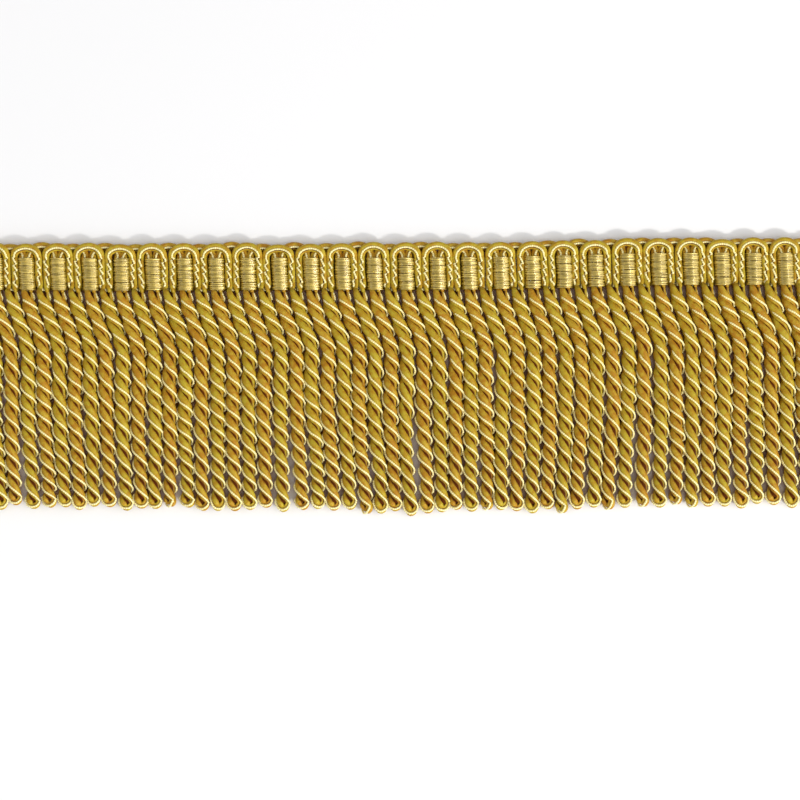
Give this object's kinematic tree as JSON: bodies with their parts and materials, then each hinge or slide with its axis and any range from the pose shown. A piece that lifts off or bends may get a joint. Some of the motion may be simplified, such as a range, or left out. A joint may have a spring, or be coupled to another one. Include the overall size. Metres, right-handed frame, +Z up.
{
  "type": "cord fringe trim",
  "caption": "Cut length of bullion fringe: woven gimp heading with looped top edge and a skirt of twisted cords, laid flat.",
  "frame": {"origin": "middle of the underside of the trim as it lies flat, on the surface", "axes": "+X along the trim, +Y from the cord ends towards the looped top edge, +Z up from the surface"},
  "size_m": [0.2319, 0.072, 0.0035],
  "materials": {
    "olive_yarn": "rayon gimp yarn, olive gold, soft satin lustre",
    "copper_yarn": "rayon gimp yarn, copper gold, soft satin lustre",
    "bright_thread": "bright pale gold plied thread, glossy",
    "satin_warp": "untwisted rayon warp filaments, high satin sheen"
  },
  "bodies": {
    "root": {"woven_heading": "olive_yarn", "bullion_skirt": "copper_yarn"}
  },
  "joints": []
}
